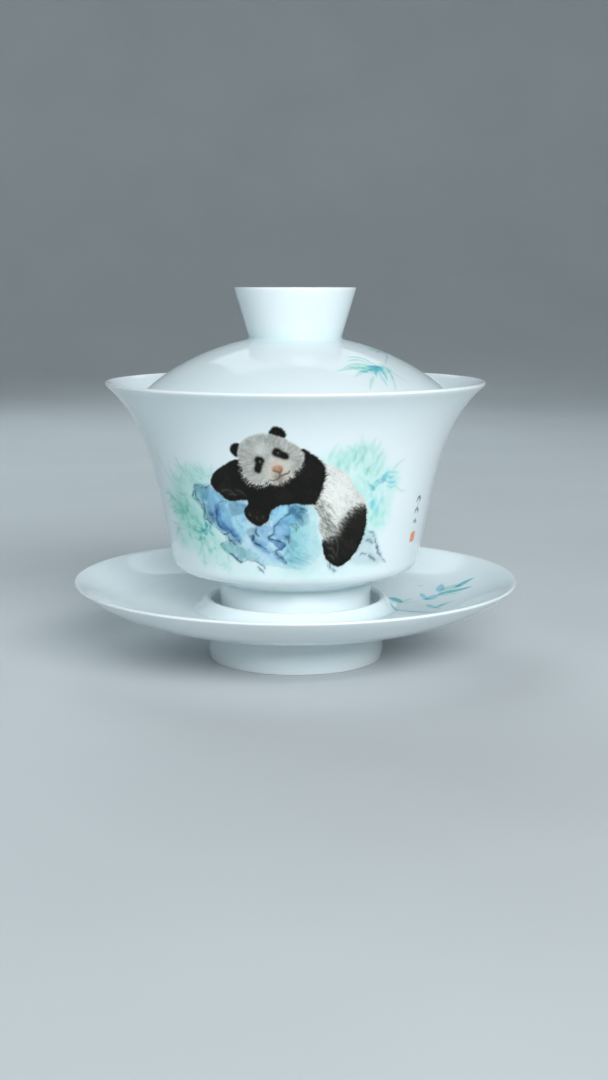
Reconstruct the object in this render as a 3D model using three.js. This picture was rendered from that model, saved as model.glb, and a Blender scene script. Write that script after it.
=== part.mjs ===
// A gaiwan: a porcelain tea bowl that stands in the well of a footed saucer and is closed by a
// domed lid with a flared ring for a knob. Each of the three is one fired piece, turned about
// the same upright axis, so each is one lathe profile.
//
// Millimetres, +Z up. The origin is the centre of the saucer's foot ring, on the table.

import * as THREE from "three";

const SEGMENTS = 64; // facets round each turned piece

// Saucer
const SAUCER_RIM_R = 58.6; // centre of the rim's rounded edge
const SAUCER_RIM_Z = 21.43;
const SAUCER_EDGE_RADIUS = 0.4;
const RIM_UNDER_SLOPE = 0.95; // rise per millimetre of radius, where the underside meets the rim
const RIM_TOP_SLOPE = 0.37; // the same for the dish's upper face
const SAUCER_UNDER_Z = 10.2; // where the underside meets the foot
const SAUCER_BELLY_R = 45.3; // the underside leaves the foot level and swells towards this radius
const SAUCER_FOOT_R = 23.6;
const SAUCER_FOOT_WALL = 3;
const FOOT_NARROWING = 0.35; // the foot narrows by this much at the table
const FOOT_NARROWING_Z = 2.5; // and begins to at this height
const DISH_FLOOR_R = 43; // the dish is a shallow cone out to here, then it turns up
const DISH_FLOOR_Z = 15.7;
const DISH_FLOOR_SLOPE = 0.135;
const COLLAR_TOE_R = 27.6; // the raised collar round the well begins here
const COLLAR_R = 23.6; // crest of the collar
const COLLAR_Z = 16.4;
const COLLAR_CREST_RADIUS = 1.1;
const WELL_R = 22.4;
const WELL_Z = 12.6; // floor of the well, which the bowl stands on
const WELL_BASE_THICKNESS = 3;

// Bowl
const MOUTH_R = 49.45; // centre of the flared mouth's round lip
const MOUTH_Z = 73.72;
const MOUTH_THICKNESS = 1;
const MOUTH_SLOPE = 1.17; // outward lean at the mouth, per millimetre of height
const FLARE_START_R = 35.21; // the wall is straight below this point and flares above it
const FLARE_START_Z = 40;
const FLARE_START_THICKNESS = 2.1;
const FLARE_HANDLE = 9.1; // height over which the flare's curve holds its slope at each end
const WALL_SLOPE = 0.2; // outward lean of the straight wall, per millimetre of height
const WALL_FOOT_Z = 25.26; // where the wall's line crosses the base cone's line
const CORNER_RADIUS = 4;
const BASE_SLOPE = 0.342; // rise of the base cone, per millimetre of radius
const BOWL_FOOT_R = 20.2;
const BOWL_FOOT_WALL = 2.3;
const BOWL_FOOT_TOP_Z = 21.1; // where the base cone meets the foot
const BOWL_RECESS_Z = 18.9; // underside of the base, inside the foot ring
const HOLLOW_FLOOR_Z = 22.2;
const HOLLOW_FLOOR_R = 18; // inside this radius the hollow's floor is almost flat
const HOLLOW_FLOOR_RISE = 1.2; // height of the floor at that radius

// Lid
const DOME_RADIUS = 61.7; // sphere that the outside of the dome follows
const DOME_CENTRE_Z = 24.45;
const LID_THICKNESS = 2.2;
const LID_EDGE_R = 41.95; // centre of the lid's round edge, just inside the bowl's wall
const KNOB_TOP_R = 16.05;
const KNOB_TOP_Z = 98.35;
const KNOB_NECK_R = 12;
const KNOB_NECK_Z = 84.95;
const KNOB_WALL = 2;
const KNOB_EDGE_RADIUS = 0.5;

const FOOT_EDGE_RADIUS = 0.4; // both foot rings

const at = (r, z) => new THREE.Vector2(r, z);

// Points on a circle round a centre, from one angle to the other, in degrees.
function arc(centre, radius, from, to, steps) {
  const [a, b] = [from, to].map(THREE.MathUtils.degToRad);
  return new THREE.EllipseCurve(centre.x, centre.y, radius, radius, a, b, b < a).getPoints(steps);
}

function bezier(a, b, c, d, steps) {
  return new THREE.CubicBezierCurve(a, b, c, d).getPoints(steps);
}

// A rounded corner, as a curve that leaves one straight stretch and joins the other.
function blend(from, corner, to, steps) {
  return new THREE.QuadraticBezierCurve(from, corner, to).getPoints(steps);
}

// The point a given distance from one point towards another.
function towards(from, to, distance) {
  return from.clone().addScaledVector(to.clone().sub(from).normalize(), distance);
}

// The other face of a wall: each point of a line moved to its left by the wall's thickness,
// which runs evenly from its value at the line's start to its value at the line's end.
function otherFace(line, startThickness, endThickness) {
  return line.map((point, i) => {
    const before = line[Math.max(i - 1, 0)];
    const after = line[Math.min(i + 1, line.length - 1)];
    const along = after.clone().sub(before).normalize();
    const thickness = THREE.MathUtils.lerp(startThickness, endThickness, i / (line.length - 1));
    return point.clone().addScaledVector(at(-along.y, along.x), thickness);
  });
}

// The half round that closes a thin wall, between the end of its outer face and the end of its
// inner face, without those two points.
function roundLip(outerEnd, innerEnd, steps) {
  const centre = outerEnd.clone().add(innerEnd).multiplyScalar(0.5);
  return Array.from({ length: steps - 1 }, (_, i) =>
    outerEnd.clone().rotateAround(centre, ((i + 1) * Math.PI) / steps),
  );
}

// A foot ring from its inner wall to its outer wall, with a flat land between rounded edges.
function footRing(innerR, outerR, z) {
  const edge = FOOT_EDGE_RADIUS;
  return [
    ...arc(at(innerR + edge, z + edge), edge, 180, 270, 3),
    ...arc(at(outerR - edge, z + edge), edge, 270, 360, 3),
  ];
}

// The solid turned from a profile that runs from the axis, round under the piece, back to the axis.
function turned(name, profile, color) {
  const geometry = new THREE.LatheGeometry(profile, SEGMENTS);
  geometry.rotateX(Math.PI / 2); // a lathe turns about Y
  const material = new THREE.MeshStandardMaterial({ color, roughness: 0.12, metalness: 0 });
  const mesh = new THREE.Mesh(geometry, material);
  mesh.name = name;
  return mesh;
}

function saucerProfile() {
  const fillet = 1;
  const footInnerR = SAUCER_FOOT_R - SAUCER_FOOT_WALL;
  const recessZ = WELL_Z - WELL_BASE_THICKNESS;

  const rimCentre = at(SAUCER_RIM_R, SAUCER_RIM_Z);
  const underAngle = THREE.MathUtils.radToDeg(Math.atan(RIM_UNDER_SLOPE)) - 90;
  const topAngle = THREE.MathUtils.radToDeg(Math.atan(RIM_TOP_SLOPE)) + 90;
  const rimArc = arc(rimCentre, SAUCER_EDGE_RADIUS, underAngle, topAngle, 5);
  const rimUnder = rimArc[0];
  const rimTop = rimArc.at(-1);

  const underHandle = 2.9; // radius over which each curve holds its slope at the rim
  const topHandle = 5.9;
  const under = bezier(
    at(SAUCER_FOOT_R + fillet, SAUCER_UNDER_Z),
    at(SAUCER_BELLY_R, SAUCER_UNDER_Z),
    at(rimUnder.x - underHandle, rimUnder.y - underHandle * RIM_UNDER_SLOPE),
    rimUnder,
    12,
  );
  const floorHandle = 5.5;
  const turnUp = bezier(
    rimTop,
    at(rimTop.x - topHandle, rimTop.y - topHandle * RIM_TOP_SLOPE),
    at(DISH_FLOOR_R + floorHandle, DISH_FLOOR_Z + floorHandle * DISH_FLOOR_SLOPE),
    at(DISH_FLOOR_R, DISH_FLOOR_Z),
    8,
  );

  const toe = at(COLLAR_TOE_R, DISH_FLOOR_Z - (DISH_FLOOR_R - COLLAR_TOE_R) * DISH_FLOOR_SLOPE);
  const crest = at(COLLAR_R, COLLAR_Z - COLLAR_CREST_RADIUS);
  const crestArc = arc(crest, COLLAR_CREST_RADIUS, 45, 180, 6);
  const shoulder = crestArc[0];
  const collarHandle = 1.15;
  const collarSide = bezier(
    toe,
    at(toe.x - collarHandle, toe.y),
    at(shoulder.x + collarHandle, shoulder.y - collarHandle),
    shoulder,
    5,
  );

  return [
    at(0, recessZ),
    at(footInnerR - fillet, recessZ),
    at(footInnerR, recessZ - fillet),
    ...footRing(footInnerR, SAUCER_FOOT_R - FOOT_NARROWING, 0),
    at(SAUCER_FOOT_R - FOOT_NARROWING * 0.3, FOOT_NARROWING_Z * 0.55),
    at(SAUCER_FOOT_R, FOOT_NARROWING_Z),
    at(SAUCER_FOOT_R, SAUCER_UNDER_Z - fillet),
    at(SAUCER_FOOT_R + fillet * 0.3, SAUCER_UNDER_Z - fillet * 0.3),
    ...under,
    ...rimArc.slice(1),
    ...turnUp.slice(1),
    ...collarSide,
    ...crestArc.slice(1),
    ...arc(at(WELL_R - fillet, WELL_Z + fillet), fillet, 0, -90, 3),
    at(0, WELL_Z),
  ];
}

function bowlProfile() {
  const fillet = 0.8;
  const footInnerR = BOWL_FOOT_R - BOWL_FOOT_WALL;
  const baseStart = at(BOWL_FOOT_R + fillet, BOWL_FOOT_TOP_Z + BASE_SLOPE * fillet);
  const flareStart = at(FLARE_START_R, FLARE_START_Z);
  const corner = at(FLARE_START_R - WALL_SLOPE * (FLARE_START_Z - WALL_FOOT_Z), WALL_FOOT_Z);
  const turn = Math.atan2(1, WALL_SLOPE) - Math.atan(BASE_SLOPE);
  const reach = CORNER_RADIUS * Math.tan(turn / 2);

  const mouthOutward = at(1, -MOUTH_SLOPE).normalize();
  const mouthEnd = at(MOUTH_R, MOUTH_Z).addScaledVector(mouthOutward, MOUTH_THICKNESS / 2);
  const flare = bezier(
    flareStart,
    at(flareStart.x + FLARE_HANDLE * WALL_SLOPE, flareStart.y + FLARE_HANDLE),
    at(mouthEnd.x - FLARE_HANDLE * MOUTH_SLOPE, mouthEnd.y - FLARE_HANDLE),
    mouthEnd,
    12,
  );
  const flareInside = otherFace(flare, FLARE_START_THICKNESS, MOUTH_THICKNESS);

  // Below the flare the hollow rounds into its floor.
  const roundStart = flareInside[0];
  const wallHandle = 12;
  const floorHandle = at(10, 1.6);
  const floorEdge = at(HOLLOW_FLOOR_R, HOLLOW_FLOOR_Z + HOLLOW_FLOOR_RISE);
  const round = bezier(
    roundStart,
    at(roundStart.x - wallHandle * WALL_SLOPE, roundStart.y - wallHandle),
    floorEdge.clone().add(floorHandle),
    floorEdge,
    8,
  );
  const floor = bezier(
    floorEdge,
    at(HOLLOW_FLOOR_R * 0.67, HOLLOW_FLOOR_Z),
    at(HOLLOW_FLOOR_R * 0.33, HOLLOW_FLOOR_Z),
    at(0, HOLLOW_FLOOR_Z),
    4,
  );

  return [
    at(0, BOWL_RECESS_Z),
    at(footInnerR - fillet, BOWL_RECESS_Z),
    at(footInnerR, BOWL_RECESS_Z - fillet),
    ...footRing(footInnerR, BOWL_FOOT_R, WELL_Z),
    at(BOWL_FOOT_R, BOWL_FOOT_TOP_Z - fillet),
    at(BOWL_FOOT_R + fillet * 0.25, BOWL_FOOT_TOP_Z - fillet * 0.15),
    baseStart,
    ...blend(towards(corner, baseStart, reach), corner, towards(corner, flareStart, reach), 6),
    ...flare,
    ...roundLip(mouthEnd, flareInside.at(-1), 4),
    ...flareInside.reverse(),
    ...round.slice(1),
    ...floor.slice(1),
  ];
}

function lidProfile() {
  const domeCentre = at(0, DOME_CENTRE_Z);
  const innerRadius = DOME_RADIUS - LID_THICKNESS;
  const onDome = (r) => at(r, DOME_CENTRE_Z + Math.sqrt(DOME_RADIUS ** 2 - r ** 2));
  const angleAt = (r, radius) => THREE.MathUtils.radToDeg(Math.acos(r / radius));
  const edgeAngle = angleAt(LID_EDGE_R, DOME_RADIUS - LID_THICKNESS / 2);

  // The knob is a ring whose wall leans outwards from the neck to the top.
  const neck = at(KNOB_NECK_R, KNOB_NECK_Z);
  const top = at(KNOB_TOP_R, KNOB_TOP_Z);
  const lean = Math.atan2(top.x - neck.x, top.y - neck.y);
  const across = KNOB_WALL / Math.cos(lean);
  const edge = KNOB_EDGE_RADIUS;
  const fillet = 1.2;
  const innerTop = at(top.x - across, top.y);
  const innerNeck = at(neck.x - across, onDome(neck.x - across).y);

  const under = arc(domeCentre, innerRadius, 90, edgeAngle, 10);
  const over = arc(domeCentre, DOME_RADIUS, edgeAngle, angleAt(KNOB_NECK_R + fillet, DOME_RADIUS), 10);
  return [
    ...under,
    ...roundLip(under.at(-1), over[0], 5),
    ...over,
    ...blend(over.at(-1), neck, towards(neck, top, fillet), 3).slice(1),
    ...blend(towards(top, neck, edge * 1.4), top, at(top.x - edge, top.y), 2),
    ...blend(at(innerTop.x + edge, top.y), innerTop, towards(innerTop, innerNeck, edge), 2),
    ...blend(towards(innerNeck, innerTop, fillet), innerNeck, onDome(innerNeck.x - fillet), 3),
    ...arc(domeCentre, DOME_RADIUS, angleAt(innerNeck.x - fillet, DOME_RADIUS), 90, 2).slice(1),
  ];
}

const gaiwan = new THREE.Group();
gaiwan.add(turned("saucer", saucerProfile(), 0xe9eff0));
gaiwan.add(turned("bowl", bowlProfile(), 0xecf2f3));
gaiwan.add(turned("lid", lidProfile(), 0xecf2f3));

export default gaiwan;
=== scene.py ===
"""Looks for a lidded porcelain tea bowl on its saucer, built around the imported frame.

Each visible piece is a fine turned mesh made from the outline of its own frame node. The decoration is
painted by a small brush engine on flat sheets in millimetres and carried to the glaze as vertex colour.
"""

import math

import bpy
import numpy as np
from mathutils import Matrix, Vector


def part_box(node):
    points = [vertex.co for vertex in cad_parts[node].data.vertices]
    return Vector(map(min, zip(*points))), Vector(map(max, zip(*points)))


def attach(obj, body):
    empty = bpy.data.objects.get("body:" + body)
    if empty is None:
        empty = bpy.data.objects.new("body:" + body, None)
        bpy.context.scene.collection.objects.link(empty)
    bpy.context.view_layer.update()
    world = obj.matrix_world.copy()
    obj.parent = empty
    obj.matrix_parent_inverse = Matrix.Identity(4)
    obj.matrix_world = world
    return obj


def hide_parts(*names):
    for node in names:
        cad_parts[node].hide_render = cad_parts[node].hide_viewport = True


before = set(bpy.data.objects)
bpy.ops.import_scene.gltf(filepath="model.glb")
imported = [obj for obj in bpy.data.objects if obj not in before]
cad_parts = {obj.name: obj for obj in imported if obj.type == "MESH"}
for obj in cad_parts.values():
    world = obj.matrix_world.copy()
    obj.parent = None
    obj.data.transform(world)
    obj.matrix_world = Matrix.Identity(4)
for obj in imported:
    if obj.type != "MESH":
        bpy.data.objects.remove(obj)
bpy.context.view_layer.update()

MM = 0.001
TAU = 2.0 * math.pi
THIN_COVER = 0.25  # how much a thin wash dulls the gloss of the glaze

# ---------------------------------------------------------------- brush engine


def curve(points, closed=False, steps=8):
    """Points along a smooth curve through the given points."""
    p = np.array(points, float)
    if closed:
        p = np.vstack([p[-1:], p, p[:2]])
    else:
        p = np.vstack([2 * p[0] - p[1], p, 2 * p[-1] - p[-2]])
    t = np.linspace(0.0, 1.0, steps, endpoint=False)[:, None]
    spans = []
    for a, b, c, d in zip(p[:-3], p[1:-2], p[2:-1], p[3:]):
        spans.append(
            0.5 * (2 * b + (c - a) * t + (2 * a - 5 * b + 4 * c - d) * t**2
                   + (3 * b - a - 3 * c + d) * t**3)
        )
    line = np.vstack(spans)
    return line if closed else np.vstack([line, p[-2:-1]])


def smooth_step(x):
    """0 up to 0, 1 from 1 on, and a smooth rise between."""
    x = np.clip(x, 0.0, 1.0)
    return x * x * (3.0 - 2.0 * x)


class Sheet:
    """A flat sheet that brushes lay pigment on, in millimetres: u runs right and v runs up."""

    CELLS = 64  # noise repeats after this many cells

    def __init__(self, low, high, dots_per_mm, seed):
        self.low = np.array(low, float)
        self.dots = dots_per_mm
        self.rng = np.random.default_rng(seed)
        columns = int(round((high[0] - low[0]) * dots_per_mm)) + 1
        rows = int(round((high[1] - low[1]) * dots_per_mm)) + 1
        u = np.linspace(low[0], high[0], columns)
        v = np.linspace(low[1], high[1], rows)
        self.u, self.v = np.meshgrid(u, v)
        self.depth = np.zeros(self.u.shape + (3,))
        self.cover = np.zeros(self.u.shape)

    def grain(self, x, y, octaves):
        """Smooth noise from 0 to 1 read at any coordinates, with one feature per unit."""
        total = np.zeros(x.shape)
        weight = 1.0
        whole = 0.0
        size = self.CELLS
        for _ in range(octaves):
            cells = self.rng.random((size, size))
            shift = self.rng.random(2) * size
            xs, ys = x + shift[0], y + shift[1]
            i, j = np.floor(xs).astype(int), np.floor(ys).astype(int)
            fx, fy = smooth_step(xs - i), smooth_step(ys - j)
            i0, j0, i1, j1 = i % size, j % size, (i + 1) % size, (j + 1) % size
            low = cells[j0, i0] * (1 - fx) + cells[j0, i1] * fx
            high = cells[j1, i0] * (1 - fx) + cells[j1, i1] * fx
            total += weight * (low * (1 - fy) + high * fy)
            whole += weight
            weight *= 0.5
            x, y = x * 2.0, y * 2.0
        return total / whole

    def noise(self, size, octaves=3, stretch=1.0, turn=0.0, part=np.s_[:, :]):
        """Noise with features of the given size, drawn out along the turn angle."""
        u, v = self.u[part], self.v[part]
        x = (u * math.cos(turn) + v * math.sin(turn)) / (size * stretch)
        y = (v * math.cos(turn) - u * math.sin(turn)) / size
        return self.grain(x, y, octaves)

    def strands(self, turn, size=0.20, stretch=7.0):
        """Hair-like streaks from -1 to 1 that run at a turn angle and wander a little."""
        wander = (self.noise(2.6, 2) - 0.5) * 1.6
        x = (self.u * math.cos(turn) + self.v * math.sin(turn)) / (size * stretch)
        y = (self.v * math.cos(turn) - self.u * math.sin(turn) + wander) / size
        return np.clip((self.grain(x, y, 2) - 0.5) * 3.6, -1.0, 1.0)

    def rays(self, at, long=1.4):
        """Hair-like streaks from -1 to 1 that run away from a point."""
        around = np.arctan2(self.v - at[1], self.u - at[0]) / TAU * self.CELLS
        far = np.hypot(self.v - at[1], self.u - at[0]) / long
        return np.clip((self.grain(around, far, 3) - 0.5) * 3.6, -1.0, 1.0)

    def soft(self, mask, width):
        """The mask blurred by a round brush of the given width."""
        sigma = max(width * self.dots, 0.3)
        fy = np.fft.fftfreq(mask.shape[0])[:, None]
        fx = np.fft.rfftfreq(mask.shape[1])[None, :]
        kernel = np.exp(-2.0 * (math.pi * sigma) ** 2 * (fx**2 + fy**2))
        return np.clip(np.fft.irfft2(np.fft.rfft2(mask) * kernel, s=mask.shape), 0.0, None)

    def window(self, points, margin):
        """Slices of the part of the sheet within margin of the points."""
        low = (points.min(0) - margin - self.low) * self.dots
        high = (points.max(0) + margin - self.low) * self.dots
        rows, columns = self.u.shape
        r0, r1 = int(max(low[1], 0)), int(min(high[1] + 2, rows))
        c0, c1 = int(max(low[0], 0)), int(min(high[0] + 2, columns))
        return slice(r0, max(r1, r0)), slice(c0, max(c1, c0))

    def shape(self, outline, soft=0.12, ragged=0.0, size=0.8):
        """Mask of a closed curve through the outline, its edge softened and made ragged."""
        loop = curve(outline, closed=True)
        part = self.window(loop, ragged + soft * 4 + 0.5)
        u, v = self.u[part], self.v[part]
        if ragged:
            u = u + (self.noise(size, part=part) - 0.5) * 2.0 * ragged
            v = v + (self.noise(size, part=part) - 0.5) * 2.0 * ragged
        within = np.zeros(u.shape, bool)
        for (u1, v1), (u2, v2) in zip(loop, np.roll(loop, -1, axis=0)):
            if abs(v2 - v1) > 1e-9:
                crossed = (v1 > v) != (v2 > v)
                within ^= crossed & (u < (u2 - u1) * (v - v1) / (v2 - v1) + u1)
        mask = np.zeros(self.u.shape)
        mask[part] = self.soft(within.astype(float), soft)
        return mask

    def stroke(self, points, width, soft=0.08, leaf=False, ends=0.25, warp=None):
        """Mask of one brush stroke: a leaf swells in its middle, a line tapers at its ends."""
        path = curve(points)
        part = self.window(path, width + soft * 2 + 0.5)
        u, v = self.u[part], self.v[part]
        if warp:
            u, v = u + warp[0][part], v + warp[1][part]
        along = np.linspace(0.0, 1.0, len(path))
        if leaf:
            half = 0.5 * width * np.sin(math.pi * along**0.75) ** 0.9
        else:
            half = 0.5 * width * (ends + (1 - ends) * np.sin(math.pi * along) ** 0.5)
        found = np.zeros(u.shape)
        for k in range(len(path) - 1):
            a, d = path[k], path[k + 1] - path[k]
            t = ((u - a[0]) * d[0] + (v - a[1]) * d[1]) / max(d @ d, 1e-12)
            t = np.clip(t, 0.0, 1.0)
            away = np.hypot(u - a[0] - t * d[0], v - a[1] - t * d[1])
            here = half[k] * (1 - t) + half[k + 1] * t
            found = np.maximum(found, smooth_step(0.5 + (here - away) / (2 * soft)))
        mask = np.zeros(self.u.shape)
        mask[part] = found
        return mask

    def hairs(self, where, flow, count, length, width, spread=0.3, curl=0.5):
        """Mask of many tapering hairs that start inside where and follow the flow angle."""
        rows, columns = self.u.shape
        chance = where.ravel() / where.sum()
        start = self.rng.choice(where.size, count, p=chance)
        x = start % columns + self.rng.random(count)
        y = start // columns + self.rng.random(count)
        angle = flow(self.u.ravel()[start], self.v.ravel()[start])
        angle = angle + self.rng.normal(0.0, spread, count)
        bend = self.rng.normal(0.0, curl, count)
        reach = length * self.dots * self.rng.uniform(0.6, 1.3, count)
        dots, amounts = [], []
        for k in range(int(reach.max())):
            weight = np.clip(1.0 - k / reach, 0.0, 1.0)
            i, j = np.floor(x).astype(int), np.floor(y).astype(int)
            good = (i >= 0) & (i < columns - 1) & (j >= 0) & (j < rows - 1) & (weight > 0)
            i, j, w = i[good], j[good], weight[good]
            fx, fy = x[good] - i, y[good] - j
            at = j * columns + i
            dots += [at, at + 1, at + columns, at + columns + 1]
            amounts += [w * (1 - fx) * (1 - fy), w * fx * (1 - fy), w * (1 - fx) * fy, w * fx * fy]
            x, y = x + np.cos(angle), y + np.sin(angle)
            angle = angle + bend / reach
        laid = np.bincount(np.concatenate(dots), np.concatenate(amounts), self.u.size)
        laid = laid.reshape(self.u.shape)
        return np.clip(self.soft(laid, width * 0.4) * 1.5, 0.0, 1.0)

    def comb(self, where, flow, count, length, width, spread, limit, amount, pigment):
        """Lays hairs of an opaque pigment, held back by a limit."""
        self.body(self.hairs(where, flow, count, length, width, spread) * limit * amount, pigment)

    def touched(self, mask):
        """Slices of the part of the sheet where a mask is above nothing."""
        rows = np.flatnonzero(mask.max(1) > 1e-4)
        columns = np.flatnonzero(mask.max(0) > 1e-4)
        if not len(rows):
            return slice(0, 0), slice(0, 0)
        return slice(rows[0], rows[-1] + 1), slice(columns[0], columns[-1] + 1)

    def wash(self, mask, pigment, weight=THIN_COVER):
        """Lays a transparent pigment: it darkens what is under it."""
        part = self.touched(mask)
        m = mask[part]
        self.depth[part] += m[..., None] * -np.log(np.array(pigment))
        self.cover[part] = np.maximum(self.cover[part], np.clip(m, 0.0, 1.0) * weight)

    def body(self, mask, pigment, weight=1.0):
        """Lays an opaque pigment: it hides what is under it."""
        part = self.touched(mask)
        m = np.clip(mask[part], 0.0, 1.0)
        self.depth[part] += m[..., None] * (-np.log(np.array(pigment)) - self.depth[part])
        self.cover[part] = np.maximum(self.cover[part], m * weight)

    def colour(self):
        """How much red, green and blue light the pigments let back."""
        return np.exp(-self.depth)

    def sample(self, values, u, v):
        """The sheet's values at points, and 0 outside it."""
        x = (np.asarray(u) - self.low[0]) * self.dots
        y = (np.asarray(v) - self.low[1]) * self.dots
        rows, columns = self.u.shape
        inside = (x >= 0) & (y >= 0) & (x < columns - 1) & (y < rows - 1)
        i = np.clip(np.floor(x).astype(int), 0, columns - 2)
        j = np.clip(np.floor(y).astype(int), 0, rows - 2)
        fx = np.clip(x - i, 0, 1)[..., None]
        fy = np.clip(y - j, 0, 1)[..., None]
        flat = values.reshape(rows, columns, -1)
        low = flat[j, i] * (1 - fx) + flat[j, i + 1] * fx
        high = flat[j + 1, i] * (1 - fx) + flat[j + 1, i + 1] * fx
        return (low * (1 - fy) + high * fy) * inside[..., None]


def away_from(u0, v0):
    """A flow of hairs that run away from a place."""
    return lambda u, v: np.arctan2(v - v0, u - u0)


def downhill(slope, droop=0.0):
    """A flow of hairs at a slope, which droops more to the lower right."""
    return lambda u, v: slope + droop * (u - v + 40.0) * 0.02


# ---------------------------------------------------------------- pigments
# Each pigment is how much red, green and blue light it lets back through the glaze.

SOOT = (0.0095, 0.0085, 0.0070)
UMBER = (0.060, 0.044, 0.032)
SOFT_SOOT = (0.13, 0.125, 0.105)
FUR = (0.92, 0.84, 0.78)
FUR_SHADE = (0.40, 0.37, 0.33)
FUR_PALE = (1.02, 0.94, 0.88)
MUZZLE = (0.86, 0.72, 0.61)
NOSE = (0.50, 0.24, 0.14)
NOSE_PALE = (0.80, 0.56, 0.44)
NOSE_DARK = (0.16, 0.09, 0.06)
SKY = (0.66, 0.87, 0.95)
AZURE = (0.54, 0.68, 0.82)
COBALT = (0.39, 0.50, 0.68)
SLATE = (0.50, 0.57, 0.62)
CONTOUR = (0.17, 0.22, 0.27)
VIOLET = (0.60, 0.62, 0.80)
LAKE = (0.42, 0.72, 0.85)
SAGE = (0.62, 0.76, 0.72)
JADE = (0.60, 0.83, 0.77)
MINT = (0.76, 0.95, 0.89)
TEAL = (0.28, 0.62, 0.66)
AQUA = (0.50, 0.82, 0.90)
INK = (0.14, 0.17, 0.18)
VERMILION = (1.04, 0.50, 0.30)

# ---------------------------------------------------------------- bowl painting


def leaf(sheet, start, angle, long, width, soft, pigment, amount):
    """One bamboo leaf brushed from start along an angle, with a slight bow."""
    lean = sheet.rng.normal(0.0, 0.10) * long
    d = np.array([math.cos(angle), math.sin(angle)])
    n = np.array([-d[1], d[0]])
    path = [start, start + d * long * 0.5 + n * lean, start + d * long]
    mask = sheet.stroke(path, width * sheet.rng.uniform(0.6, 1.2), soft, leaf=True)
    sheet.wash(mask * amount * sheet.rng.uniform(0.5, 1.6), pigment)


def leaf_fan(sheet, at, spread, reach, angles, count, width, soft, pigment, amount):
    """Bamboo leaves brushed outward from joints scattered round a place."""
    for _ in range(count):
        start = np.array(at) + sheet.rng.normal(0.0, spread, 2)
        leaf(sheet, start, sheet.rng.uniform(*angles), reach * sheet.rng.uniform(0.5, 1.1),
             width, soft, pigment, amount)


def cloud(sheet, outline, soft, ragged, pigment, amount, size=3.0):
    """A loose wash whose strength drifts, with faint brush streaks."""
    mask = sheet.shape(outline, soft, ragged, size)
    drift = 0.35 + 1.1 * sheet.noise(size * 1.4) * sheet.noise(size * 0.5) * 2.0
    streaks = 0.85 + 0.3 * sheet.noise(0.5, 2, 6.0, 0.5)
    sheet.wash(mask * drift * streaks * amount, pigment)


LEFT_GROVE = [(-17, 34), (-21, 31), (-27, 30), (-33, 33), (-39, 34), (-37, 39), (-40, 44), (-36, 49),
              (-31, 54), (-25, 56), (-20, 53), (-24, 48), (-23, 41), (-18, 37)]
LEFT_HEART = [(-24, 35), (-30, 35), (-33, 40), (-37, 43), (-34, 47), (-28, 45), (-25, 41), (-22, 38)]
RIGHT_GROVE = [(6, 57.5), (10, 59.5), (15, 60.5), (20, 59), (22, 55), (27, 54), (26, 49), (26, 43),
               (23, 38), (19, 36), (15, 42), (15, 47), (10, 52)]
FOOT_MIST = [(-24, 33), (-14, 31), (-4, 31), (8, 31), (18, 31), (26, 33), (20, 28), (8, 27), (-6, 27),
             (-20, 28)]

# Fans of leaves: place, scatter, reach, range of angles, count, leaf width, softness, pigment, strength.
LEAF_FANS = [
    ((-34.5, 44.5), 1.6, 6.0, (2.2, 4.4), 22, 0.9, 0.20, JADE, 0.27),
    ((-36, 37.5), 1.6, 5.0, (2.8, 4.2), 16, 0.8, 0.20, JADE, 0.28),
    ((-30.5, 43), 1.8, 5.0, (1.8, 5), 24, 1.0, 0.20, JADE, 0.34),
    ((-27.5, 39), 1.7, 4.6, (2.2, 5.4), 22, 0.9, 0.20, JADE, 0.34),
    ((-30.5, 50.5), 1.7, 4.4, (0.9, 3.4), 20, 0.8, 0.20, JADE, 0.30),
    ((-26, 33.8), 1.8, 4.2, (2.6, 6), 20, 0.9, 0.20, JADE, 0.30),
    ((-20.5, 32), 1.6, 3.0, (3.4, 6.2), 12, 0.8, 0.20, JADE, 0.24),
    ((-23.5, 52), 1.2, 3.8, (0.4, 2.8), 14, 0.7, 0.18, JADE, 0.30),
    ((-24.4, 38.4), 0.8, 2.0, (1, 6.2), 22, 0.8, 0.24, TEAL, 0.40),
    ((-26, 37.6), 0.5, 2.6, (2.8, 3.9), 6, 0.5, 0.12, TEAL, 0.34),
    ((-21.8, 35.6), 0.8, 1.8, (2.8, 5.6), 6, 0.5, 0.14, TEAL, 0.16),
    ((11.5, 55.6), 2.2, 4.2, (0.4, 2.4), 22, 1.0, 0.26, JADE, 0.26),
    ((17.5, 55), 2.2, 4.4, (0.9, 2.2), 20, 1.0, 0.26, JADE, 0.26),
    ((15.6, 57), 1.8, 2.8, (0.8, 2.4), 10, 0.7, 0.22, JADE, 0.24),
    ((19.8, 49.2), 0.6, 2.2, (0.6, 3.4), 9, 0.8, 0.16, TEAL, 0.24),
    ((22.6, 51.8), 1.0, 3.0, (-0.5, 1.1), 14, 0.8, 0.18, AQUA, 0.42),
    ((21.4, 50.8), 0.7, 2.2, (-0.4, 0.9), 10, 0.7, 0.14, AZURE, 0.42),
    ((20.6, 47), 1.1, 4.0, (-2, -1), 16, 1.0, 0.24, AQUA, 0.26),
    ((22, 43.6), 1.6, 3.4, (-2.2, -0.2), 16, 1.0, 0.26, MINT, 0.50),
    ((25.6, 51), 0.8, 2.6, (-0.7, 0.6), 8, 0.6, 0.18, AQUA, 0.26),
]

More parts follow.
